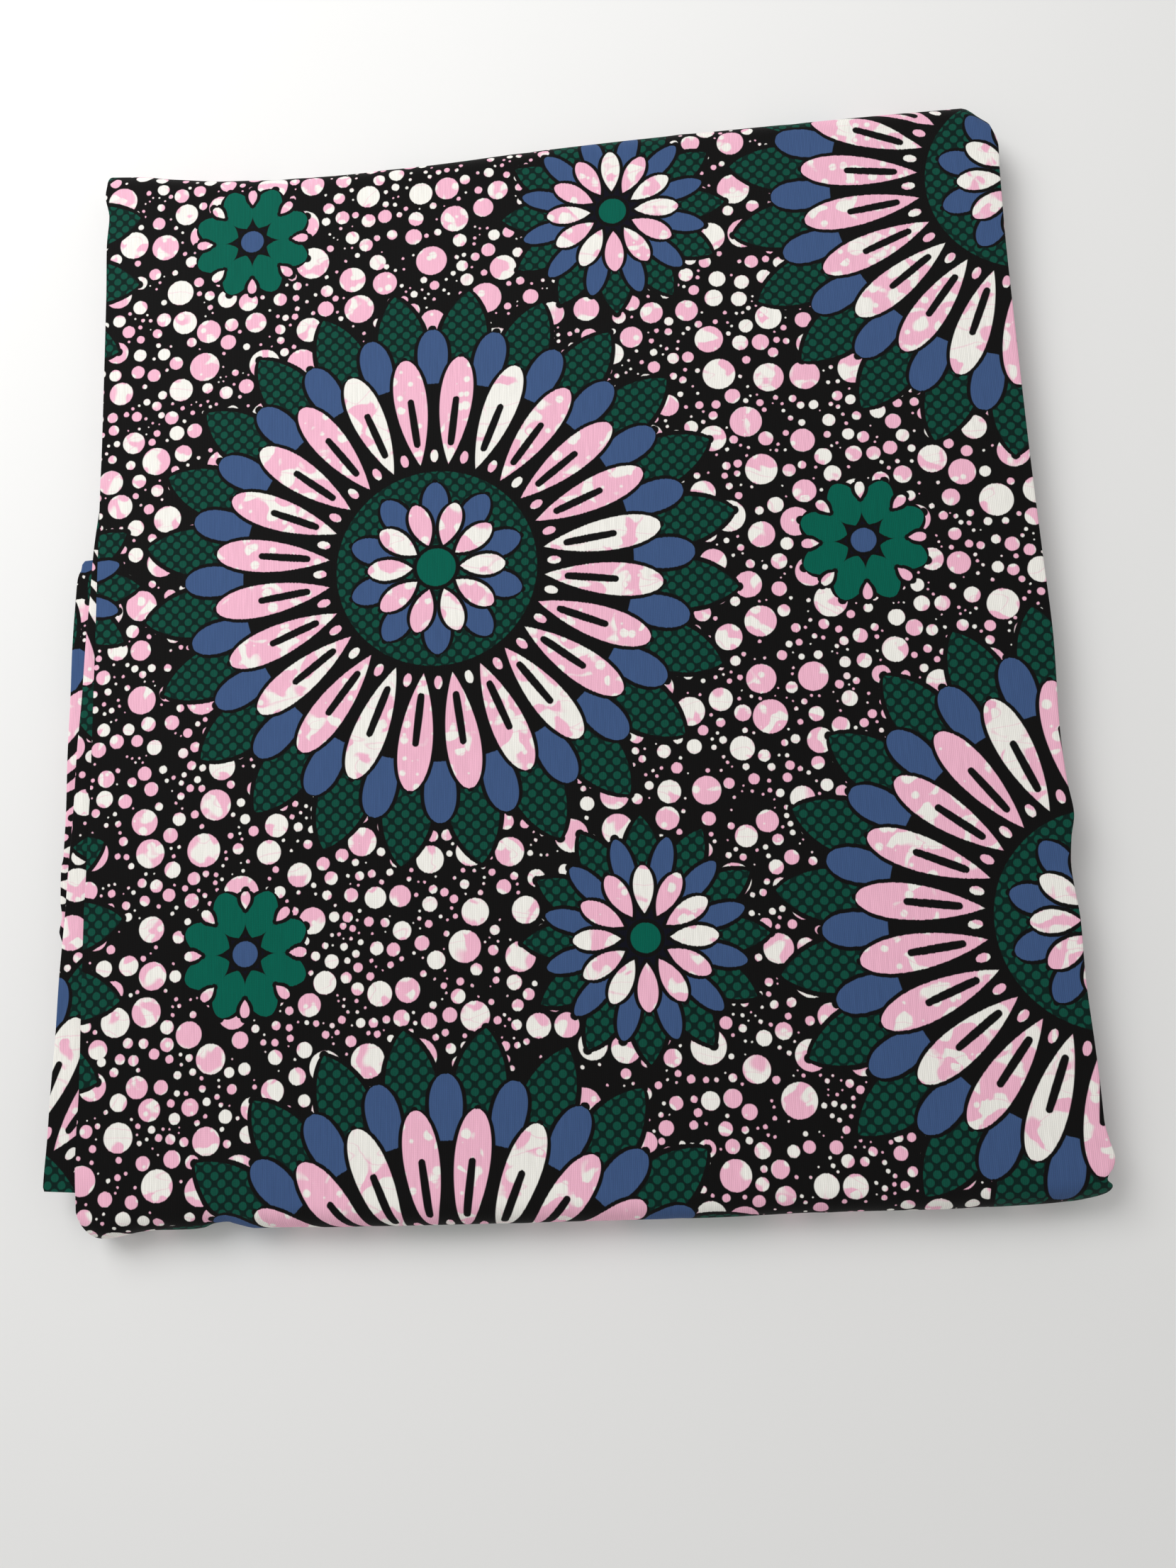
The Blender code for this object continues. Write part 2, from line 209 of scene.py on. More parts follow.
def curve_through(
    rows: Sequence[NamedTuple], along: str, value: str, unit: float = MM
) -> Callable[[Array], Array]:
    """A smooth function through a table's rows, from the first to the last.

    Args:
        rows: Rows of one table, in rising order of the column along.
        along: The column that it runs along.
        value: The column whose values it gives, in millimetres.
        unit: What the column along is counted in: millimetres, or 1 for degrees.

    Returns:
        A function of an array of places in metres or degrees that gives metres.
    """
    knots = np.array([getattr(row, along) for row in rows])
    values = np.array([getattr(row, value) for row in rows])
    rises = np.diff(values) / np.diff(knots)
    before, after = rises[:-1], rises[1:]
    level = before * after <= 0
    total = np.where(level, 1.0, before + after)
    inner = np.where(level, 0.0, 2 * before * after / total)
    slopes = np.concatenate([rises[:1], inner, rises[-1:]])

    def at(places: Array) -> Array:
        """The table's values at these places, held level beyond its ends."""
        places = np.clip(np.asarray(places, float) / unit, knots[0], knots[-1])
        i = np.clip(np.searchsorted(knots, places) - 1, 0, len(knots) - 2)
        span = knots[i + 1] - knots[i]
        t = (places - knots[i]) / span
        rise = t * t * (3 - 2 * t)
        lead = t * (1 - t) ** 2 * slopes[i] * span
        trail = t * t * (t - 1) * slopes[i + 1] * span
        return (values[i] + (values[i + 1] - values[i]) * rise + lead + trail) * MM

    return at


@dataclass
class Stations:
    """Sections across the packet, from its near end over the top to its far end.

    An end is -1 near, 1 far and 0 for the flat top between. A section round an end has an
    angle in degrees, from level to 90 upright, and one on top a share of the way along.
    """

    end: Array
    angle_deg: Array
    share: Array

    @classmethod
    def over(cls, end_deg: float, step_deg: float, tops: int, extra: Sequence[float] = ()) -> "Stations":
        """Even sections over both ends and the top.

        Args:
            end_deg: The angle that they start and end at.
            step_deg: About how far apart they are round an end.
            tops: How many spans the top is parted into.
            extra: Further shares of the way along the top.

        Returns:
            The sections in order.
        """
        angles = np.linspace(end_deg, 90.0, round((90.0 - end_deg) / step_deg) + 1)
        shares = np.sort(np.concatenate([np.linspace(0.0, 1.0, tops + 1)[1:-1], extra]))
        flat = np.zeros(len(shares))
        end = np.concatenate([-np.ones(len(angles)), flat, np.ones(len(angles))])
        angle = np.concatenate([angles, flat + 90.0, angles[::-1]])
        share = np.concatenate([angles * 0, shares, angles * 0 + 1])
        return cls(end[:, None], angle[:, None], share[:, None])


@dataclass
class PacketForm:
    """The folded packet's sizes, the same as its solids', and the lines of its folds."""

    cloth_width: float = 1.194
    cloth_length: float = 5.486
    folds_across: int = 3
    strips: int = 12
    stack_height: float = 18.0 * MM
    panel_wall: float = 1.5 * MM
    layer_wall: float = 1.1 * MM
    seam_gap: float = 0.3 * MM
    side_power: int = 24
    wrap_end_deg: float = -42.0
    core_end_deg: float = 24.0
    pocket_x: float = -150.0 * MM
    pocket_strips: int = 2

    def __post_init__(self) -> None:
        """Works out the sizes that follow from the others."""
        self.half_width = self.cloth_width / self.folds_across / 2
        self.half_length = self.cloth_length / self.strips / 2
        self.core_height = self.stack_height - self.panel_wall - self.seam_gap
        self.core_radius = self.core_height / 2
        self.wrap_radius = self.stack_height - self.core_radius
        self.core_strips = self.strips - 1
        strip_pitch = self.core_height / self.core_strips
        self.third_level = self.core_height - self.pocket_strips * strip_pitch + self.seam_gap
        self.second_level = self.third_level + self.layer_wall + self.seam_gap
        self.near_ease = curve_through(ENDS, "x", "near")
        self.far_ease = curve_through(ENDS, "x", "far")

    def along(self, at: Stations, x: Array, out: Array) -> Array:
        """Places along the packet.

        Args:
            at: The sections.
            x: Places across the packet, a row for each section.
            out: How far a section round an end lies beyond the axis of that end's fold.

        Returns:
            The places.
        """
        near = -self.half_length - self.near_ease(x) + self.wrap_radius
        far = self.half_length + self.far_ease(x) - self.wrap_radius
        between = near + (far - near) * at.share
        return np.where(at.end < 0, near - out, np.where(at.end > 0, far + out, between))

    def spots(self, at: Stations, x: Array, radius: Array, ease: float = 0.0) -> tuple[Array, Array]:
        """Where a surface at some distance from the ends' axes lies.

        Args:
            at: The sections.
            x: Places across the packet, a row for each section.
            radius: How far the surface is from the ends' axes.
            ease: How much less than that it reaches out beyond them.

        Returns:
            The places along the packet, and the heights above the middle of the stack.
        """
        angle = np.radians(at.angle_deg)
        return self.along(at, x, (radius - ease) * np.cos(angle)), radius * np.sin(angle)

    def unrolled(self, at: Stations, x: Array) -> Array:
        """The place along the unfolded cloth of a surface wrapped over the packet."""
        return self.along(at, x, np.radians(90.0 - at.angle_deg) * self.wrap_radius)

    def lift(self, x: Array, y: Array) -> Array:
        """How much the cloth rises by its swells and creases, less towards its sides.

        Args:
            x: Places across the packet.
            y: Places along it, or along the unrolled cloth.

        Returns:
            The rises, in metres.
        """
        total = np.zeros(np.broadcast(x, y).shape)
        for row in CREASES:
            turn = math.radians(row.turn_deg)
            off_x, off_y = x / MM - row.x, y / MM - row.y
            along = (off_x * math.cos(turn) + off_y * math.sin(turn)) / row.half_length
            across = (off_y * math.cos(turn) - off_x * math.sin(turn)) / row.half_width
            total += row.height * np.exp(-(along**2) - across**2)
        level = 1 - np.clip(abs(x / self.half_width), 0, 1) ** self.side_power
        return total * level * MM


@dataclass
class Placing:
    """Where the packet's middle lies in the row frame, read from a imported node's box."""

    shift: Vector = field(init=False)

    def __post_init__(self) -> None:
        """Compares the second strip's corner with its table."""
        low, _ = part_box("second_layer")
        left = min(row.left for row in SECOND_EDGE) * MM
        near = SECOND_EDGE[0].y * MM
        self.shift = Vector((low.x - left, low.y - near, 0.0))


# Cloth meshes


def linked(name: str, data: bpy.types.ID) -> Thing:
    """A new object, linked to the scene.

    Args:
        name: Its name.
        data: Its mesh, camera or light.

    Returns:
        The object.
    """
    made = bpy.data.objects.new(name, data)
    bpy.context.scene.collection.objects.link(made)
    return made


def close_end(ring: Sequence[int]) -> list[tuple[int, ...]]:
    """Faces that close a loft's end, in rungs from the ring's start to its far side.

    Args:
        ring: The numbers of the ring's points.

    Returns:
        The faces, by their points' numbers.
    """
    half = len(ring) // 2
    rungs = [(ring[k], ring[k + 1], ring[-k - 2], ring[-k - 1]) for k in range(half - 1)]
    if len(ring) % 2:
        rungs.append((ring[half - 1], ring[half], ring[half + 1]))
    return rungs


@dataclass
class ClothLoft:
    """A closed cloth shell through rings of points, with its two maps.

    The points are sections by columns by three. cloth is each point's place on the unfolded
    cloth, and jumps how far each column's faces are moved there. spans counts the columns of
    each stretch of a ring, and bake_shares is how much of the bake map's width each takes.
    The faces that close the ends lie in a strip of that map, at end_depths within it.
    """

    points: Array
    cloth: Array
    jumps: Array
    spans: Sequence[int]
    bake_shares: Sequence[float]
    end_strip: float = 0.01
    end_depths: Pair = (0.25, 0.75)
    sharp_deg: float = 75.0

    def bake_places(self, corners: Array) -> Array:
        """Each face corner's place on a square map with no overlaps, for baking the print.

        Args:
            corners: The points of the faces that close the ends, by their number.

        Returns:
            The places of the loft's corners, then of its ends' corners, by two.
        """
        columns, strip = self.points.shape[1], self.end_strip
        widths = np.repeat(np.array(self.bake_shares) / self.spans, self.spans)
        u = np.concatenate([[0.0], np.cumsum(widths)])
        steps = np.median(np.linalg.norm(np.diff(self.points, axis=0), axis=2), axis=1)
        v = strip + (1 - 2 * strip) * np.concatenate([[0.0], np.cumsum(steps)]) / steps.sum()
        across = np.stack([u[:-1], u[1:], u[1:], u[:-1]], axis=-1)[None]
        along = np.stack([v[:-1], v[:-1], v[1:], v[1:]], axis=-1)[:, None]
        sides = np.stack(np.broadcast_arrays(across, along), axis=-1).reshape(-1, 2)

        place = corners % columns
        rung = np.minimum(place, columns - 1 - place) / (columns / 2)
        depth = strip * np.where(place < columns / 2, *self.end_depths)
        ends = np.stack([rung, np.where(corners < columns, depth, 1 - depth)], axis=-1)
        return np.concatenate([sides, ends])

    def build(self, name: str) -> Thing:
        """Makes the shell.

        Args:
            name: The piece's name.

        Returns:
            The piece, linked to the scene.
        """
        sections, columns = self.points.shape[:2]
        index = np.arange(sections * columns).reshape(sections, columns)
        after = np.roll(index, -1, axis=1)
        quads = np.stack([index[:-1], after[:-1], after[1:], index[1:]], axis=-1)
        shift = np.broadcast_to(self.jumps[None, :, None, :], (*quads.shape, 2))
        ends = close_end(index[0].tolist()) + close_end(index[-1].tolist())
        corners = np.array([corner for face in ends for corner in face])
        flat = self.cloth.reshape(-1, 2)
        places = np.concatenate([flat[quads.ravel()] + shift.reshape(-1, 2), flat[corners]])

        mesh = bpy.data.meshes.new(name)
        mesh.from_pydata(self.points.reshape(-1, 3).tolist(), [], quads.reshape(-1, 4).tolist() + ends)
        for map_name, uv in ((CLOTH_MAP, places), (BAKE_MAP, self.bake_places(corners))):
            mesh.uv_layers.new(name=map_name).data.foreach_set("uv", uv.astype(np.float32).ravel())
        made = bmesh.new()
        made.from_mesh(mesh)
        bmesh.ops.recalc_face_normals(made, faces=made.faces)
        made.to_mesh(mesh)
        made.free()
        mesh.shade_smooth()
        mesh.set_sharp_from_angle(angle=math.radians(self.sharp_deg))
        return linked(name, mesh)


@dataclass(kw_only=True)
class PacketPiece:
    """A piece of the packet, with the node that it stands for and its material slot."""

    form: PacketForm
    placing: Placing
    node: str
    slot: str

    def loft(self) -> ClothLoft:
        """The piece's rings, about the middle of the packet."""
        raise NotImplementedError

    def build(self, finishes: dict[str, bpy.types.Material]) -> Thing:
        """Makes the piece, gives it its finish and puts it in its node's place.

        Args:
            finishes: The material for each slot.

        Returns:
            The piece.
        """
        loft = self.loft()
        loft.points = loft.points + np.array(self.placing.shift)
        piece = loft.build(f"{self.node}_cloth")
        piece.data.materials.append(finishes[self.slot])
        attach(piece, ROOT)
        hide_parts(self.node)
        LOG.info("%s: %d faces, in place of %s", piece.name, len(piece.data.polygons), self.node)
        return piece


@dataclass(kw_only=True)
class TopPanel(PacketPiece):
    """The uppermost strip: crisp at the left, round at the right, wrapped over both ends.

    Each line of a layer at the left edge has how far it draws in and its share of the
    layer's height.
    """

    node: str = "top_panel"
    slot: str = "printed_panel"
    columns: int = 200
    under_columns: int = 25
    tops: int = 215
    step_deg: float = 5.5
    layer_insets: Numbers = (0.55 * MM, 0.2 * MM, 0.0)
    layer_lines: tuple[Pair, ...] = ((0.4 * MM, 0.06), (0.0, 0.3), (0.0, 0.82))
    layer_jump: Pair = (0.13, 0.31)
    nose_turns_deg: Numbers = (60.0, 30.0, 0.0, -30.0, -60.0)
    bake_shares: Numbers = (0.86, 0.03, 0.06, 0.05)

    def sides(self, at: Stations) -> tuple[Array, Array]:
        """The strip's left and right edges.

        Args:
            at: The sections.

        Returns:
            Where each edge lies across the packet.
        """
        middle, _ = self.form.spots(at, np.zeros_like(at.end), self.form.wrap_radius)
        left = -self.form.half_width - curve_through(SIDES, "y", "left")(middle)
        right = self.form.half_width + curve_through(SIDES, "y", "right")(middle)
        for end, word in ((-1, "near"), (1, "far")):
            draw_left = curve_through(CORNERS, "angle_deg", f"{word}_left", 1.0)(at.angle_deg)
            draw_right = curve_through(CORNERS, "angle_deg", f"{word}_right", 1.0)(at.angle_deg)
            left = left + np.where(at.end == end, draw_left, 0.0)
            right = right - np.where(at.end == end, draw_right, 0.0)
        return left, right

    def loft(self) -> ClothLoft:
        """The rings: over the top, round the nose, back under and up the left edge's layers.

        Returns:
            The loft through them.
        """
        form, wall = self.form, self.form.panel_wall
        at = Stations.over(form.wrap_end_deg, self.step_deg, self.tops)
        left, right = self.sides(at)
        nose = wall / 2
        outer = np.linspace(0.0, 1.0, self.columns)[None, :] * (right - nose - left) + left
        inner = np.linspace(1.0, 0.0, self.under_columns)[None, :] * (right - nose - left) + left
        turns = np.radians(self.nose_turns_deg)[None, :]
        round_x = right - nose + nose * np.cos(turns)
        round_share = np.broadcast_to((1 + np.sin(turns)) / 2, round_x.shape)
        layers = len(self.layer_insets)
        lines = [(number, *line) for number in range(layers) for line in self.layer_lines]
        edge_x = [left + self.layer_insets[number] + draw for number, draw, _ in lines]
        edge_share = [np.full_like(left, (number + part) / layers) for number, _, part in lines]
        x = np.hstack([outer, round_x, inner, *edge_x])
        share = np.hstack([outer * 0 + 1, round_share, inner * 0, *edge_share])

        run = form.unrolled(at, x)
        radius = form.wrap_radius - wall * (1 - share) + form.lift(x, run)
        y, height = form.spots(at, x, radius)
        spans = (self.columns, len(self.nose_turns_deg), self.under_columns, len(lines))
        jumps = np.zeros((x.shape[1], 2))
        jumps[-len(lines) :] = [np.array(self.layer_jump) * number for number, _, _ in lines]
        return ClothLoft(
            points=np.stack([x, y, form.core_radius + height], axis=-1),
            cloth=np.stack([x, run], axis=-1),
            jumps=jumps,
            spans=spans,
            bake_shares=self.bake_shares,
        )


@dataclass(kw_only=True)
class PeepingStrip(PacketPiece):
    """A strip that shows at the left, turned round at its left edge."""

    slot: str = "printed_strips"
    edge: Sequence[EdgeRow]
    level: float
    jump: Pair
    columns: int = 22
    crowding: float = 1.4
    spacing: float = 2.0 * MM
    end_share: float = 0.5
    tuck: float = 2.0 * MM
    wave: float = 0.25 * MM
    wave_length: float = 47.0 * MM
    wave_reach: float = 6.0 * MM
    nose_turns_deg: Numbers = (-60.0, -30.0, 0.0, 30.0, 60.0)
    bake_shares: Numbers = (0.22, 0.28, 0.5)

    def loft(self) -> ClothLoft:
        """The rings: under, round the left edge and back over the top.

        Returns:
            The loft through them.
        """
        near, far = self.edge[0].y * MM, self.edge[-1].y * MM
        even = np.linspace(near, far, round((far - near) / self.spacing))[1:-1]
        rows = [row.y * MM for row in self.edge[1:-1]]
        y = np.concatenate([[near], np.sort(np.concatenate([even, rows])), [far]])[:, None]
        squeeze = np.ones_like(y)
        squeeze[[0, -1]] = self.end_share
        nose = self.form.layer_wall / 2 * squeeze
        left = curve_through(self.edge, "y", "left")(y)
        right = self.form.pocket_x - self.tuck
        span = np.linspace(0.0, 1.0, self.columns)[None, :] ** self.crowding
        across = (left + nose) + (right - left - nose) * span
        turns = np.radians(self.nose_turns_deg)[None, :]
        round_x = left + nose - nose * np.cos(turns)
        x = np.hstack([across[:, ::-1], round_x, across])
        flat = np.ones_like(across)
        side = np.hstack([-flat, np.broadcast_to(np.sin(turns), round_x.shape), flat])

        ripple = self.wave * np.sin(2 * np.pi * y / self.wave_length)
        droop = ripple * np.exp(-((x - left) / self.wave_reach) ** 2)
        z = self.level + self.form.layer_wall / 2 + nose * side + self.form.lift(x, y) + droop
        y = np.broadcast_to(y, x.shape)
        return ClothLoft(
            points=np.stack([x, y, z], axis=-1),
            cloth=np.stack([np.where(side < 0, 2 * left - x, x), y], axis=-1),
            jumps=np.broadcast_to(np.array(self.jump), (x.shape[1], 2)),
            spans=(self.columns, len(self.nose_turns_deg), self.columns),
            bake_shares=self.bake_shares,
        )


@dataclass(kw_only=True)
class FoldedLayers(PacketPiece):
    """The strips that lie hidden, with each layer of cloth as a fold at both sides."""

    node: str = "folded_layers"
    slot: str = "printed_layers"
    columns: int = 40
    tops: int = 215
    step_deg: float = 5.5
    layers: int = 3
    left_insets_mm: Numbers = (0.6, -0.4, 1.3, 0.2, 1.0, -0.6, 0.8, 0.0, 1.2, 0.3, 0.9)
    right_insets_mm: Numbers = (0.5, 1.6, 0.2, 1.2, 2.2, 0.6, 1.5, 0.0, 1.0, 0.4, 1.1)
    inset: float = 1.2 * MM
    end_ease: float = 0.4 * MM
    strip_groove: float = 1.6 * MM
    layer_groove: float = 0.55 * MM
    strip_wave: float = 0.7 * MM
    strip_wave_length: float = 170.0 * MM
    strip_wave_step: float = 0.37
    layer_wave: float = 0.22 * MM
    layer_wave_lengths_mm: Pair = (9.0, 31.0)
    layer_wave_turn: float = 6.0
    layer_inset: float = 0.8 * MM
    fold_shares: Numbers = (0.25, 0.75)
    pocket_near: float = 0.0008
    pocket_far: float = 0.7
    print_reach: float = 0.6
    rounding: float = 0.01
    seed: int = 11
    bake_shares: Numbers = (0.17, 0.1, 0.33, 0.23, 0.17)

    def side_lines(self, y: Array, pocket: Array) -> tuple[list[Array], list[Array], Array]:
        """The lines of both sides, from the underside up.

        Args:
            y: The sections' places along the packet.
            pocket: Which sections pass through the peeping strips' pocket.

        Returns:
            The left lines, the right lines, and the level of each from -1 to 1.
        """
        draw = np.random.default_rng(self.seed)
        half, strips = self.form.half_width - self.inset, self.form.core_strips
        fan = curve_through(FAN, "y", "left")(y)
        lefts, rights, levels = [], [], []
        for number in range(strips):
            phase = 2 * np.pi * (y / self.strip_wave_length + self.strip_wave_step * number)
            wave = self.strip_wave * np.sin(phase)
            left = -half + self.left_insets_mm[number] * MM + fan + wave
            right = half - self.right_insets_mm[number] * MM + wave
            for layer in range(self.layers):
                back_left, back_right = draw.uniform(0.0, self.layer_inset, 2)
                length = draw.uniform(*self.layer_wave_lengths_mm) * MM
                ripple = self.layer_wave * np.sin(y / length + draw.uniform(0.0, self.layer_wave_turn))
                groove = self.layer_groove if layer else self.strip_groove
                inner = left + back_left + ripple
                outer = right - back_right + ripple
                if number >= strips - self.form.pocket_strips:
                    inner = np.where(pocket, self.form.pocket_x, inner)
                for depth, share in ((groove, 0.0), *((0.0, part) for part in self.fold_shares)):
                    lefts.append(inner + depth)
                    rights.append(outer - depth)
                    levels.append(2 * (number + (layer + share) / self.layers) / strips - 1)
        return lefts, rights, np.array(levels)

    def loft(self) -> ClothLoft:
        """The rings: from half way up the right side over the top and round.

        Returns:
            The loft through them.
        """
        form = self.form
        walls = (self.pocket_near, self.pocket_far, self.pocket_far + self.pocket_near)
        at = Stations.over(form.core_end_deg, self.step_deg, self.tops, walls)
        pocket = (at.end == 0) & (at.share >= self.pocket_near) & (at.share <= self.pocket_far)
        middle, _ = form.spots(at, np.zeros_like(at.end), form.core_radius)
        lefts, rights, side = self.side_lines(middle, pocket)
        count, half = len(side), len(side) // 2 + 1
        span = np.linspace(0.0, 1.0, self.columns)[None, :]
        last = -1 - len(self.fold_shares)
        top = rights[last] + (lefts[last] - rights[last]) * span
        under = lefts[0] + (rights[0] - lefts[0]) * span
        x = np.hstack([*rights[half:], top, *lefts[::-1], under[:, 1:-1], *rights[:half]])
        over, below = np.ones(self.columns), -np.ones(self.columns - 2)
        level = np.concatenate([side[half:], over, side[::-1], below, side[:half]])
        y, height = form.spots(at, x, form.core_radius, self.end_ease)
        lift = np.where(at.end == 0, form.lift(x, y) * np.clip(level, 0.0, 1.0), 0.0)
        return ClothLoft(
            points=np.stack([x, y, form.core_radius + height * level + lift], axis=-1),
            cloth=np.stack([x, y], axis=-1),
            jumps=self.jumps(level),
            spans=(count - half, self.columns, count, self.columns - 2, half),
            bake_shares=self.bake_shares,
        )

    def jumps(self, level: Array) -> Array:
        """Where on the unfolded cloth each column's faces lie: each layer has its own place.

        Args:
            level: Each column's level, from -1 to 1.

        Returns:
            The places, by two.
        """
        draw = np.random.default_rng(self.seed + 1)
        count = self.form.core_strips * self.layers
        places = draw.uniform(-self.print_reach, self.print_reach, (count + 1, 2))
        layer = np.floor((level + 1) / 2 * count + self.rounding).astype(int)
        return places[np.clip(layer, 0, count)]


# The print and the finish


class Dye(Enum):
    """The print's colours, as 8-bit sRGB."""

    BLACK = (13, 12, 12)
    NAVY = (13, 13, 25)
    DARK_GREEN = (6, 34, 29)
    GREEN = (0, 94, 77)
    LEAF_GREEN = (11, 76, 61)
    BLUE = (63, 88, 131)
    PINK = (245, 186, 208)
    WHITE = (245, 243, 236)

    def linear(self) -> Colour:
        """The colour as linear light, with full alpha."""
        shares = [value / 255 for value in self.value]
        light = [s / 12.92 if s <= 0.04045 else ((s + 0.055) / 1.055) ** 2.4 for s in shares]
        return (*light, 1.0)


def math_step(operation: str, swapped: bool = False) -> Callable[..., "Value"]:
    """A method of a value that places one math node.

    Args:
        operation: What the node works out.
        swapped: Whether the value comes after the other one.

    Returns:
        The method.
    """

    def step(value: "Value", *others: object) -> "Value":
        """The operation on the value and the others."""
        return value.net.math(operation, *((*others, value) if swapped else (value, *others)))

    return step


class Value:
    """What a node puts out, first of all its first output. Arithmetic on it places nodes."""

    def __init__(self, net: "Net", node: bpy.types.Node, key: str | int = 0) -> None:
        """Holds the node and one output's socket."""
        self.net = net
        self.node = node
        self.socket = node.outputs[key]

    def __getitem__(self, key: str | int) -> "Value":
        """Another output of the node, by its name or number."""
        return Value(self.net, self.node, key)

    __add__ = math_step("ADD")
    __sub__ = math_step("SUBTRACT")
    __rsub__ = math_step("SUBTRACT", swapped=True)
    __mul__ = math_step("MULTIPLY")
    __truediv__ = math_step("DIVIDE")
    __rtruediv__ = math_step("DIVIDE", swapped=True)
    __mod__ = math_step("FLOORED_MODULO")
    __pow__ = math_step("POWER")
    __abs__ = math_step("ABSOLUTE")
    floor = math_step("FLOOR")
    fract = math_step("FRACT")
    nearest = math_step("ROUND")
    sine = math_step("SINE")
    larger = math_step("MAXIMUM")
    smaller = math_step("MINIMUM")
    above = math_step("GREATER_THAN")


class Net:
    """Places the nodes of one shader tree and joins them."""

    def __init__(self, tree: Tree) -> None:
        """Starts from an empty or a default tree."""
        self.tree = tree

    def join(self, value: object, socket: bpy.types.NodeSocket) -> None:
        """Links a value to a socket, or sets a plain number or colour on it.

        Args:
            value: The value, number or colour.
            socket: A node's input.
        """
        if isinstance(value, Value):
            self.tree.links.new(value.socket, socket)
        else:
            socket.default_value = value

    def place(self, kind: str, inputs: dict[str | int, object], **settings: object) -> Value:
        """Places a node.

        Args:
            kind: The node's type.
            inputs: What goes to its inputs, by their names or numbers.
            settings: Its settings.

        Returns:
            What it puts out.
        """
        node = self.tree.nodes.new(kind)
        for name, value in settings.items():
            setattr(node, name, value)
        for key, value in inputs.items():
            self.join(value, node.inputs[key])
        return Value(self, node)

    def group(self, tree: Tree, **inputs: object) -> Value:
        """Places a node of a group."""
        return self.place("ShaderNodeGroup", inputs, node_tree=tree)

    def math(self, operation: str, *values: object) -> Value:
        """One step of arithmetic."""
        return self.place("ShaderNodeMath", dict(enumerate(values)), operation=operation)

    def ramp(self, value: Value, low: object, high: object, soft: bool = True) -> Value:
        """0 below low and 1 above high, and the other way where low is the higher.

        Args:
            value: The value.
            low: Where it starts.
            high: Where it ends.
            soft: Whether it eases in and out.

        Returns:
            The share of the way.
        """
        kind = "SMOOTHSTEP" if soft else "LINEAR"
        inputs = {"Value": value, "From Min": low, "From Max": high}
        return self.place("ShaderNodeMapRange", inputs, interpolation_type=kind, clamp=True)["Result"]

    def vector(self, *parts: object) -> Value:
        """A vector from its parts."""
        return self.place("ShaderNodeCombineXYZ", dict(enumerate(parts)))

    def parts(self, whole: Value, kind: str = "ShaderNodeSeparateXYZ") -> tuple[Value, Value]:
        """The first two parts of a vector, or of another whole by the node that parts it."""
        made = self.place(kind, {0: whole})
        return made[0], made[1]

    def length(self, vector: Value) -> Value:
        """A vector's length."""
        return self.place("ShaderNodeVectorMath", {0: vector}, operation="LENGTH")["Value"]

    def colour(self, share: object, under: object, over: object) -> Value:
        """One colour laid over another."""
        return self.place("ShaderNodeMix", {"Factor": share, 6: under, 7: over}, data_type="RGBA")[2]

    def blend(self, share: Value, first: object, second: object) -> Value:
        """A value between two others."""
        return self.place("ShaderNodeMix", {"Factor": share, 2: first, 3: second}, data_type="FLOAT")

    def noise(self, place: Value, cell: float, detail: float, distortion: float = 0.0) -> Value:
        """Soft noise from 0 to 1 with features about a cell across."""
        inputs = {"Vector": place, "Scale": 1 / cell, "Detail": detail, "Distortion": distortion}
        return self.place("ShaderNodeTexNoise", inputs, noise_dimensions="2D")["Fac"]

    def cells(self, place: Value, size: object, scatter: float = 1.0, feature: str = "F1") -> Value:
        """Points about a cell apart, with a colour by chance for each."""
        inputs = {"Vector": place, "Scale": 1.0 / size, "Randomness": scatter}
        return self.place("ShaderNodeTexVoronoi", inputs, voronoi_dimensions="2D", feature=feature)

    def chances(self, colour: Value) -> tuple[Value, Value]:
        """Two values from 0 to 1 from a colour by chance."""
        return self.parts(colour, "ShaderNodeSeparateColor")

    def chance(self, number: Value) -> Value:
        """A value from 0 to 1 that depends on a whole number alone."""
        return self.place("ShaderNodeTexWhiteNoise", {"W": number}, noise_dimensions="1D")["Value"]


class Group:
    """A new shader node group with named inputs and outputs."""

    def __init__(self, name: str, inputs: dict[str, str], outputs: dict[str, str]) -> None:
        """Makes the group's sockets.

        Args:
            name: The group's name.
            inputs: Each input's name and kind: Float, Vector or Color.
            outputs: Each output's name and kind.
        """
        self.tree = bpy.data.node_groups.new(name, "ShaderNodeTree")
        for words, way in ((inputs, "INPUT"), (outputs, "OUTPUT")):
            for word, kind in words.items():
                self.tree.interface.new_socket(name=word, in_out=way, socket_type=f"NodeSocket{kind}")
        self.net = Net(self.tree)
        self.inputs = self.net.place("NodeGroupInput", {})
        self.results = self.tree.nodes.new("NodeGroupOutput").inputs

    def give(self, **values: Value) -> Tree:
        """Joins a value to each output.

        Args:
            values: The values, by the outputs' names.

        Returns:
            The finished group.
        """
        for name, value in values.items():
            self.net.join(value, self.results[name])
        return self.tree


def floats(*names: str) -> dict[str, str]:
    """Sockets for plain numbers."""
    return dict.fromkeys(names, "Float")


class Tint(Enum):
    """What a ring of petals is printed in. Resist is where wax kept the dark dye off."""

    RESIST = "resist"
    LEAF = "dotted green"
    GREEN = "green"
    BLUE = "blue"
    INK = "black"


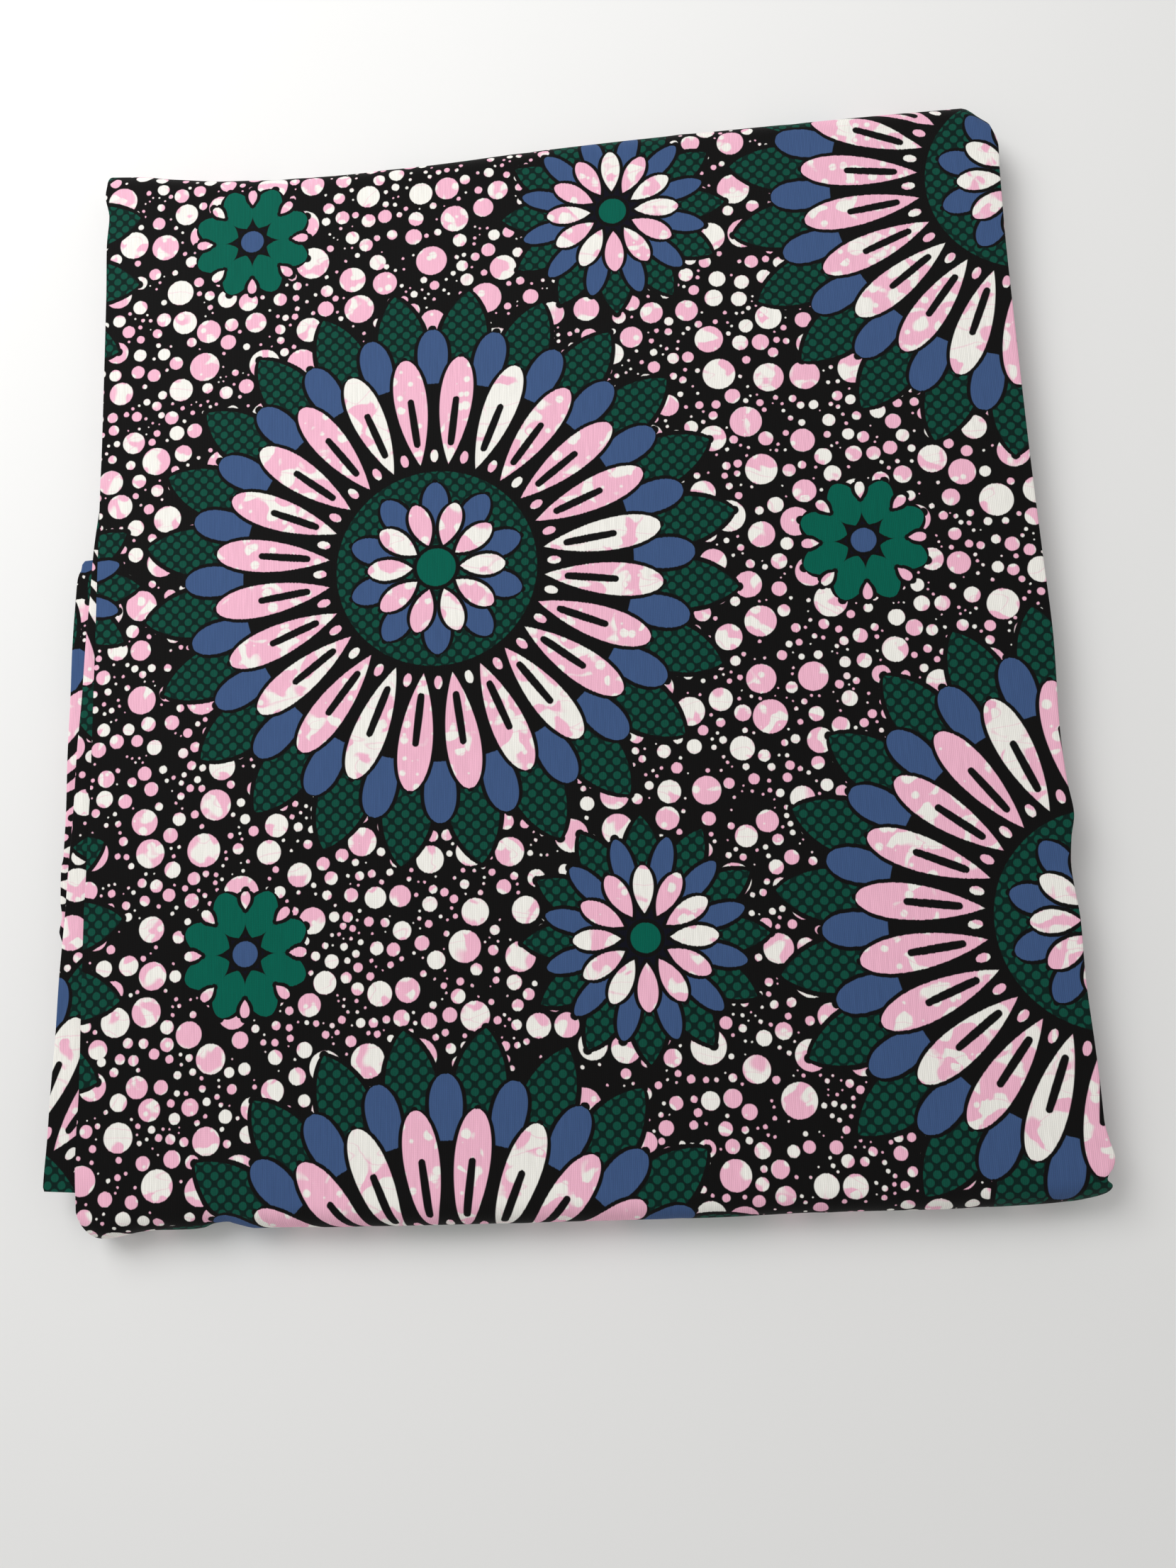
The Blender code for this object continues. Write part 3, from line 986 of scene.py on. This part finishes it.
class RingRow(NamedTuple):
    """A ring of petals in millimetres. A power of 1 makes a point, and one of 0.5 a round end."""

    tint: Tint
    count: int
    start: float
    end: float
    half_width: float
    inner_power: float
    outer_power: float
    phase: float

    def inputs(self) -> dict[str, float]:
        """The petal ring's inputs, with the half width over the shape's own peak.

        Returns:
            The sizes, by the inputs' names.
        """
        both = self.inner_power + self.outer_power
        inner = (self.inner_power / both) ** self.inner_power
        outer = (self.outer_power / both) ** self.outer_power
        sizes = self._replace(half_width=self.half_width / (inner * outer))._asdict()
        del sizes["tint"]
        return {name.replace("_", " ").title(): size for name, size in sizes.items()}


class DiscRow(NamedTuple):
    """A disc at a flower's middle, in millimetres."""

    tint: Tint
    radius: float


@dataclass(frozen=True)
class FlowerPrint:
    """A flower, with its rings and discs from the back to the front, in millimetres.

    Its place is how far across and along it lies from the nearest large flower, and its
    ground is the radius that is plain behind it.
    """

    name: str
    place: Pair
    ground: float
    rows: tuple[RingRow | DiscRow, ...]


FLOWERS = (
    FlowerPrint(
        "large_flower",
        place=(0.0, 0.0),
        ground=100.0,
        rows=(
            RingRow(Tint.LEAF, 24, 88, 127, 10.6, 0.6, 0.8, 0),
            RingRow(Tint.BLUE, 24, 76, 109, 6.9, 0.9, 0.5, 0.5),
            DiscRow(Tint.INK, 82),
            RingRow(Tint.RESIST, 24, 46, 96, 7.3, 0.9, 0.5, 0),
            RingRow(Tint.INK, 24, 56, 76, 0.25, 0.6, 1, 0),
            RingRow(Tint.RESIST, 24, 47, 53, 1.9, 0.5, 0.5, 0.5),
            DiscRow(Tint.LEAF, 43),
            RingRow(Tint.BLUE, 10, 16, 38, 5.8, 0.9, 0.6, 0),
            RingRow(Tint.RESIST, 10, 10, 29.5, 4.8, 0.9, 0.6, 0.5),
            DiscRow(Tint.GREEN, 8.5),
        ),
    ),
    FlowerPrint(
        "middle_flower",
        place=(81.0, 158.5),
        ground=40.0,
        rows=(
            RingRow(Tint.LEAF, 12, 22, 49, 7, 0.7, 0.9, 0.5),
            RingRow(Tint.BLUE, 12, 14, 41, 4.5, 0.9, 0.6, 0),
            RingRow(Tint.RESIST, 12, 9.5, 29, 4.3, 0.9, 0.6, 0.5),
            DiscRow(Tint.GREEN, 6.2),
        ),
    ),
    FlowerPrint(
        "small_flower",
        place=(-81.0, 158.5),
        ground=22.0,
        rows=(
            RingRow(Tint.GREEN, 8, 7, 27, 6.8, 0.8, 0.6, 0),
            RingRow(Tint.RESIST, 8, 18, 25.5, 2.2, 0.9, 0.5, 0.5),
            DiscRow(Tint.BLUE, 5.4),
        ),
    ),
)


class DotRow(NamedTuple):
    """One range of dots in millimetres: their spacing, and the largest one's radius."""

    cell: float
    most: float


DOTS = table(DotRow, (21.5, 7.9), (10.6, 4.5), (6.3, 2.7), (3.6, 1.3))


@dataclass(frozen=True)
class Ribs:
    """The woven ribs and the picks across them, in millimetres."""

    pitch: float = 0.725
    streak_length: float = 11.0
    pick_pitch: float = 0.42
    pick_height: float = 0.15

    def group(self) -> Tree:
        """A step for each rib, a fine streak, the ribs' ridges, which the finish also uses for painted
        shade and highlight on the ribs, and the weave's height.

        Returns:
            The group, which takes a place on the cloth.
        """
        group = Group("cotton_ribs", {"Cloth": "Vector"}, floats("Step", "Streak", "Ridge", "Height"))
        net = group.net
        x, y = net.parts(group.inputs["Cloth"])
        ribs = x * (1 / (self.pitch * MM))
        step = net.chance(ribs.floor()) * 2.0 - 1.0
        streak = net.noise(net.vector(ribs, y * (1 / (self.streak_length * MM))), cell=1.0, detail=1.0)
        ridge = abs((ribs * math.pi).sine())
        picks = (y * (2 * math.pi / (self.pick_pitch * MM))).sine()
        return group.give(Step=step, Streak=streak, Ridge=ridge, Height=picks * self.pick_height + ridge)


@dataclass(frozen=True)
class Marbling:
    """White patches, round spots and faint veins in the resist, in millimetres and shares."""

    patch: float = 8.6
    patch_detail: float = 0.8
    distortion: float = 0.4
    tone_lean: float = 0.42
    patch_edge: Pair = (0.48, 0.57)
    spot_cell: float = 6.6
    spot_range: float = 0.62
    spot_least: float = -0.26
    spot_edge: Pair = (-0.05, 0.09)
    vein_cell: float = 9.0
    vein_detail: float = 0.5
    vein_squeeze: float = 0.4
    vein_level: float = 0.47
    vein_width: float = 0.024
    vein_strength: float = 0.45

    def group(self) -> Tree:
        """How white a place in the resist is, where a tone from 0 to 1 leans it to white.

        Returns:
            The group, which takes the place in millimetres and the tone.
        """
        group = Group("wax_marbling", {"Place": "Vector", "Tone": "Float"}, floats("White"))
        net, place = group.net, group.inputs["Place"]
        patches = net.noise(place, self.patch, self.patch_detail, self.distortion)
        lean = (group.inputs["Tone"] - 0.5) * self.tone_lean + patches
        white = net.ramp(lean, *self.patch_edge)
        spots = net.cells(place, self.spot_cell)
        _, size = net.chances(spots["Color"])
        reach = size * self.spot_range + self.spot_least
        spot = net.ramp(reach - spots["Distance"], *self.spot_edge)
        x, y = net.parts(place)
        flat = net.vector(x * self.vein_squeeze, y)
        line = abs(net.noise(flat, self.vein_cell, self.vein_detail, self.distortion) - self.vein_level)
        vein = net.ramp(line, self.vein_width, 0.0) * self.vein_strength
        return group.give(White=white.larger(spot) - vein)


@dataclass
class Print:
    """The print's node groups, and its sizes in millimetres.

    The large flowers repeat by a column and a row, in a half drop.
    """

    column: float = 259.0
    row: float = 317.0
    centre_x: float = -50.0
    centre_y: float = 36.0
    rib_step: float = 0.1
    print_edge: float = 0.45
    outline: float = 1.2
    margin: float = 2.2
    scatter: float = 0.85
    dot_gap: float = 0.95
    least_share: float = 0.62
    least_dot: float = 0.5
    leaf_dot: float = 1.85
    leaf_dot_pitch: float = 4.1

    def __post_init__(self) -> None:
        """Builds each group once."""
        self.ring = self.ring_group()
        self.dots = self.dots_group()
        self.marbling = Marbling().group()
        self.ribs = Ribs().group()
        self.whole = self.cloth_group()

    def ring_group(self) -> Tree:
        """A ring of petals round a middle: how far a place is inside one, and its number.

        Returns:
            The group, which takes the place as a share of a turn and a radius.
        """
        sizes = ("Count", "Start", "End", "Half Width", "Inner Power", "Outer Power", "Phase")
        group = Group("petal_ring", floats("Turn", "Radius", *sizes), floats("Inside", "Number"))
        net, given = group.net, group.inputs
        radius, count = given["Radius"], given["Count"]
        along = given["Turn"] * count + given["Phase"]
        arc = abs(along.fract() - 0.5) * (2 * math.pi) * radius / count
        place = net.ramp(radius, given["Start"], given["End"], soft=False)
        inner, outer = place ** given["Inner Power"], (1.0 - place) ** given["Outer Power"]
        width_left = inner * outer * given["Half Width"] - arc
        length_left = (radius - given["Start"]).smaller(given["End"] - radius)
        inside = length_left.smaller(width_left).larger(0.0)
        past = net.vector(length_left.smaller(0.0), width_left.smaller(0.0))
        return group.give(Inside=inside - net.length(past), Number=along.floor() % count)

    def flower_group(self, flower: FlowerPrint) -> Tree:
        """A flower: its colour, where it is resist, a petal's number and its clear ground.

        Args:
            flower: The flower's rings and discs.

        Returns:
            The group, which takes a place from the flower's middle in millimetres.
        """
        outputs = {"Color": "Color", **floats("Resist", "Number", "Clear")}
        group = Group(flower.name, {"Place": "Vector"}, outputs)
        net, edge, outline = group.net, self.print_edge, self.outline
        x, y = net.parts(group.inputs["Place"])
        turn = net.math("ARCTAN2", y, x) * (0.5 / math.pi) + 0.5
        radius = net.length(group.inputs["Place"])
        black, dark = Dye.BLACK.linear(), Dye.DARK_GREEN.linear()
        paints = {
            Tint.LEAF: net.colour(self.leaf_dots(x, y), dark, Dye.LEAF_GREEN.linear()),
            Tint.GREEN: Dye.GREEN.linear(),
            Tint.BLUE: Dye.BLUE.linear(),
            Tint.INK: black,
        }

        reach = flower.ground - radius
        colour = net.colour(net.ramp(reach, 0.0, edge), black, Dye.NAVY.linear())
        resist, number = 0.0, 0.0
        for row in flower.rows:
            if isinstance(row, DiscRow):
                inside, petal = row.radius - radius, 0.0
            else:
                ring = net.group(self.ring, Turn=turn, Radius=radius, **row.inputs())
                inside, petal = ring["Inside"], ring["Number"]
            lined = net.ramp(inside, -outline - edge, -outline)
            mask = net.ramp(inside, 0.0, edge)
            reach = reach.larger(inside + self.margin)
            colour = net.colour(lined, colour, black)
            resist = (1.0 - lined) * resist
            if row.tint is Tint.RESIST:
                resist = resist.larger(mask)
                number = net.blend(lined, number, petal + row.start)
            else:
                colour = net.colour(mask, colour, paints[row.tint])
        return group.give(Color=colour, Resist=resist, Number=number, Clear=net.ramp(reach, 0.0, edge))

    def leaf_dots(self, x: Value, y: Value) -> Value:
        """Even staggered dots in the leaves.

        Args:
            x: The place across the flower in millimetres.
            y: The place along it.

        Returns:
            The dots' mask.
        """
        net, pitch = x.net, self.leaf_dot_pitch
        slants = [(slant / (pitch * math.sqrt(2))).fract() - 0.5 for slant in (x + y, x - y)]
        distance = net.length(net.vector(*slants)) * pitch
        return net.ramp(self.leaf_dot - distance, 0.0, self.print_edge)

    def dots_group(self) -> Tree:
        """Dots of one range of sizes that never touch.

        Returns:
            The group, which gives the nearest dot's middle, distance, radius and tone.
        """
        inputs = {"Place": "Vector", **floats("Cell", "Most")}
        group = Group("dot_field", inputs, {"Middle": "Vector", **floats("Distance", "Radius", "Tone")})
        net, place, cell = group.net, group.inputs["Place"], group.inputs["Cell"]
        dot = net.cells(place, cell, self.scatter)
        room = net.cells(place, cell, self.scatter, feature="N_SPHERE_RADIUS")
        tone, size = net.chances(dot["Color"])
        free = room["Radius"] * cell - self.dot_gap / 2
        share = size * (1 - self.least_share) + self.least_share
        radius, distance = free.smaller(group.inputs["Most"] * share), dot["Distance"] * cell
        return group.give(Middle=dot["Position"], Distance=distance, Radius=radius, Tone=tone)

    def dots_of(self, row: DotRow, place: Value) -> Value:
        """The dots of one row."""
        return place.net.group(self.dots, Place=place, Cell=row.cell, Most=row.most)

    def dot_ground(self, here: Value) -> tuple[Value, Value]:
        """Dots of several sizes, where a smaller one shrinks to keep its gap to a larger.

        Args:
            here: The place in millimetres.

        Returns:
            The dots' mask and their tone.
        """
        net, mask, tone = here.net, 0.0, 0.5
        for number, row in enumerate(DOTS):
            own = self.dots_of(row, here)
            radius = own["Radius"]
            for larger in DOTS[:number]:
                test = self.dots_of(larger, own["Middle"])
                room = test["Distance"] - test["Radius"]
                radius = radius.smaller(room - self.dot_gap)
            inside = net.ramp(radius - own["Distance"], 0.0, self.print_edge)
            kept = radius.above(self.least_dot) * inside
            tone = net.blend(kept, tone, own["Tone"])
            mask = kept.larger(mask)
        return mask, tone

    def nearest_flower(self, x: Value, y: Value, place: Pair) -> Value:
        """The place from the nearest flower of a half-drop repeat.

        Args:
            x: The place across the cloth in millimetres.
            y: The place along it.
            place: How far across and along these flowers lie from the large ones.

        Returns:
            The place from that flower's middle.
        """
        across = x - place[0]
        column = (across / self.column).nearest()
        along = y - ((column % 2.0) * (self.row / 2) + place[1])
        row = (along / self.row).nearest()
        return x.net.vector(across - column * self.column, along - row * self.row)

    def cloth_group(self) -> Tree:
        """The whole print: flowers in a half drop, smaller ones between, dots all round.

        Returns:
            The group, which takes a place on the cloth and its rib's step.
        """
        outputs = {"Color": "Color", "Resist": "Float"}
        group = Group("wax_print", {"Cloth": "Vector", "Step": "Float"}, outputs)
        net = group.net
        x, y = net.parts(group.inputs["Cloth"])
        x = x * (1 / MM) - self.centre_x
        y = y * (1 / MM) - self.centre_y + group.inputs["Step"] * self.rib_step
        here = net.vector(x, y)

        resist, tone = self.dot_ground(here)
        colour = Dye.BLACK.linear()
        for flower in FLOWERS:
            nearest = self.nearest_flower(x, y, flower.place)
            drawn = net.group(self.flower_group(flower), Place=nearest)
            clear = drawn["Clear"]
            colour = net.colour(clear, colour, drawn["Color"])
            resist = net.blend(clear, resist, drawn["Resist"])
            tone = net.blend(clear, tone, net.chance(drawn["Number"]))
        white = net.group(self.marbling, Place=here, Tone=tone)["White"]
        dyed = net.colour(white, Dye.PINK.linear(), Dye.WHITE.linear())
        return group.give(Color=net.colour(resist, colour, dyed), Resist=resist)


@dataclass(frozen=True)
class PrintedCotton:
    """The cloth's finish: a soft, matt, finely ribbed cotton with the print in it, and painted shade and
    highlight along its ribs.
    """

    name: str
    roughness: float = 0.8
    resist_roughness: float = 0.06
    sheen: float = 0.03
    sheen_roughness: float = 0.5
    specular: float = 0.09
    bump: float = 0.5
    rib_height: float = 0.09 * MM
    # Painted shade in the grooves between the ribs and painted highlight on their ridges: how strongly
    # the base colour follows the ribs' ridges
    rib_shade: float = 0.2
    rib_mean: float = 0.6
    streak_shade: float = 0.2

    def material(self, printed: Print) -> bpy.types.Material:
        """Makes the material.

        Args:
            printed: The print's node groups.

        Returns:
            The material.
        """
        material = bpy.data.materials.new(self.name)
        material.use_nodes = True
        net = Net(material.node_tree)
        cloth = net.place("ShaderNodeUVMap", {}, uv_map=CLOTH_MAP)
        ribs = net.group(printed.ribs, Cloth=cloth)
        dyed = net.group(printed.whole, Cloth=cloth, Step=ribs["Step"])
        # Painted shade and highlight: the base colour is darkened in the grooves between the ribs and
        # lightened on their ridges; the streaks are the ink's own uneven tone
        ridge = ribs["Ridge"] * self.rib_shade + (1 - self.rib_shade * self.rib_mean)
        streak = ribs["Streak"] * self.streak_shade + (1 - self.streak_shade / 2)
        shaded = {0: dyed["Color"], "Scale": ridge * streak}
        raised = {"Strength": self.bump, "Distance": self.rib_height, "Height": ribs["Height"]}
        finish = {
            "Base Color": net.place("ShaderNodeVectorMath", shaded, operation="SCALE"),
            "Roughness": dyed["Resist"] * self.resist_roughness + self.roughness,
            "Sheen Weight": self.sheen,
            "Sheen Roughness": self.sheen_roughness,
            "Specular IOR Level": self.specular,
            "Normal": net.place("ShaderNodeBump", raised),
        }
        shader = material.node_tree.nodes["Principled BSDF"]
        for name, value in finish.items():
            net.join(value, shader.inputs[name])
        return material


# The studio


@dataclass
class Studio:
    """The camera, the floor and the light."""

    placing: Placing
    image_size: tuple[int, int] = (1659, 2212)
    focal_pixels: float = 1661.0
    sensor: float = 36.0
    nearest: float = 0.01
    pitch_deg: float = -9.438
    yaw_deg: float = -4.090
    roll_deg: float = 2.216
    eye: tuple[float, float, float] = (0.0441, -0.1380, 0.4874)
    floor_size: float = 40.0
    floor_colour: Colour = (0.9, 0.9, 0.89, 1.0)
    floor_roughness: float = 0.9
    daylight: Colour = (1.0, 0.995, 0.985, 1.0)
    daylight_strength: float = 0.5
    lamp_place: tuple[float, float, float] = (-0.52, 0.56, 0.9)
    lamp_size: float = 0.7
    lamp_power: float = 8.6

    def camera(self) -> None:
        """The photograph's view: from a little above the near end, nearly straight down."""
        data = bpy.data.cameras.new("camera")
        data.sensor_width = self.sensor
        data.lens = self.sensor * self.focal_pixels / max(self.image_size)
        data.clip_start = self.nearest
        turn = (
            Matrix.Rotation(math.radians(-self.yaw_deg), 4, "Y")
            @ Matrix.Rotation(math.radians(-self.pitch_deg), 4, "X")
            @ Matrix.Rotation(math.radians(-self.roll_deg), 4, "Z")
        )
        camera = linked("camera", data)
        camera.matrix_world = Matrix.Translation(Vector(self.eye) + self.placing.shift) @ turn
        bpy.context.scene.camera = camera

    def floor(self) -> None:
        """A plain pale floor."""
        mesh = bpy.data.meshes.new("floor")
        made = bmesh.new()
        bmesh.ops.create_grid(made, x_segments=1, y_segments=1, size=self.floor_size / 2)
        made.to_mesh(mesh)
        made.free()
        material = bpy.data.materials.new("floor")
        material.use_nodes = True
        shader = material.node_tree.nodes["Principled BSDF"]
        shader.inputs["Base Color"].default_value = self.floor_colour
        shader.inputs["Roughness"].default_value = self.floor_roughness
        mesh.materials.append(material)
        linked("floor", mesh)

    def light(self) -> None:
        """Soft daylight all round, and a large lamp at the upper left that faces the packet."""
        world = bpy.data.worlds.new("studio")
        world.use_nodes = True
        background = world.node_tree.nodes["Background"]
        background.inputs["Color"].default_value = self.daylight
        background.inputs["Strength"].default_value = self.daylight_strength
        bpy.context.scene.world = world
        data = bpy.data.lights.new("key", "AREA")
        data.size = self.lamp_size
        data.energy = self.lamp_power
        lamp = linked("key", data)
        lamp.location = self.lamp_place
        lamp.rotation_euler = (-Vector(self.lamp_place)).to_track_quat("-Z", "Y").to_euler()
        bpy.context.scene.view_settings.view_transform = "Standard"


def main() -> None:
    """Builds the packet's cloth and the studio round it."""
    logging.basicConfig(level=logging.INFO, format="%(name)s: %(message)s")
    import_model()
    form, placing = PacketForm(), Placing()
    studio = Studio(placing)
    studio.camera()
    studio.floor()
    studio.light()

    printed = Print()
    slots = ("printed_panel", "printed_strips", "printed_layers")
    finishes = {slot: PrintedCotton(slot).material(printed) for slot in slots}
    both = {"form": form, "placing": placing}
    layers = FoldedLayers(**both).build(finishes)
    third = PeepingStrip(
        **both, node="third_layer", edge=THIRD_EDGE, level=form.third_level, jump=(0.21, 0.12)
    ).build(finishes)
    second = PeepingStrip(
        **both, node="second_layer", edge=SECOND_EDGE, level=form.second_level, jump=(-0.33, 0.27)
    ).build(finishes)
    panel = TopPanel(**both).build(finishes)


if __name__ == "__main__":
    main()
